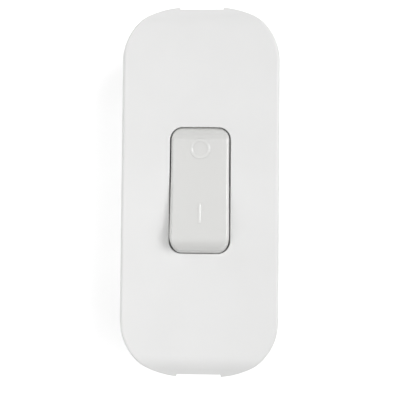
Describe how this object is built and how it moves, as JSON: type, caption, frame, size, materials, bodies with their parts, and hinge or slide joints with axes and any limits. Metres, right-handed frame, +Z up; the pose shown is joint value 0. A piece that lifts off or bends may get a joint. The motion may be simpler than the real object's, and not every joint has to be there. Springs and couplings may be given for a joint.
{
  "type": "in-line cord switch",
  "caption": "Long rounded cord switch: a housing with a cord entry at each end and a rocker in its face that tips a sprung seesaw contact inside.",
  "frame": {"origin": "centre of the underside of the base", "axes": "+Z up out of the rocker face, +Y along the body towards the off end of the rocker, +X across"},
  "size_m": [0.037, 0.0874, 0.0232],
  "materials": {
    "housing_plastic": "satin",
    "rocker_plastic": "gloss",
    "plunger_plastic": "satin",
    "clamp_plastic": "satin",
    "brass": "bare",
    "contact_metal": "bare",
    "screw_steel": "zinc plated",
    "spring_steel": "bare"
  },
  "bodies": {
    "housing": {"base": "housing_plastic", "cover": "housing_plastic", "fixed_contact_tip": "contact_metal", "common_terminal": "brass", "common_terminal_screw": "screw_steel", "switched_terminal": "brass", "switched_terminal_screw": "screw_steel", "neutral_terminal": "brass", "neutral_terminal_screws": "screw_steel", "earth_terminal": "brass", "earth_terminal_screws": "screw_steel", "cord_clamp_inlet": "clamp_plastic", "clamp_screws_inlet": "screw_steel", "cord_clamp_outlet": "clamp_plastic", "clamp_screws_outlet": "screw_steel", "cover_screws": "screw_steel"},
    "rocker": {"rocker": "rocker_plastic", "plunger_spring": "spring_steel"},
    "plunger": {"plunger": "plunger_plastic"},
    "blade": {"contact_blade": "brass", "moving_contact_tip": "contact_metal"}
  },
  "joints": [
    {"name": "rocker_tilt", "type": "hinge", "parent": "housing", "child": "rocker", "pos_m": [0, 0, 0.016], "axis": [1, 0, 0], "range_deg": [0, 15]},
    {"name": "plunger_slide", "type": "slide", "parent": "rocker", "child": "plunger", "axis": [0, 0.1305, 0.9914], "range_m": [0, 0.0008], "stiffness_N_per_m": 300, "deforming": ["plunger_spring"]},
    {"name": "contact_rock", "type": "hinge", "parent": "housing", "child": "blade", "pos_m": [0, 0, 0.00525], "axis": [1, 0, 0], "range_deg": [-16.01, 0]}
  ],
  "couplings": [
    {"joint": "contact_rock", "follows": "rocker_tilt", "ratio": -1.0667}
  ]
}
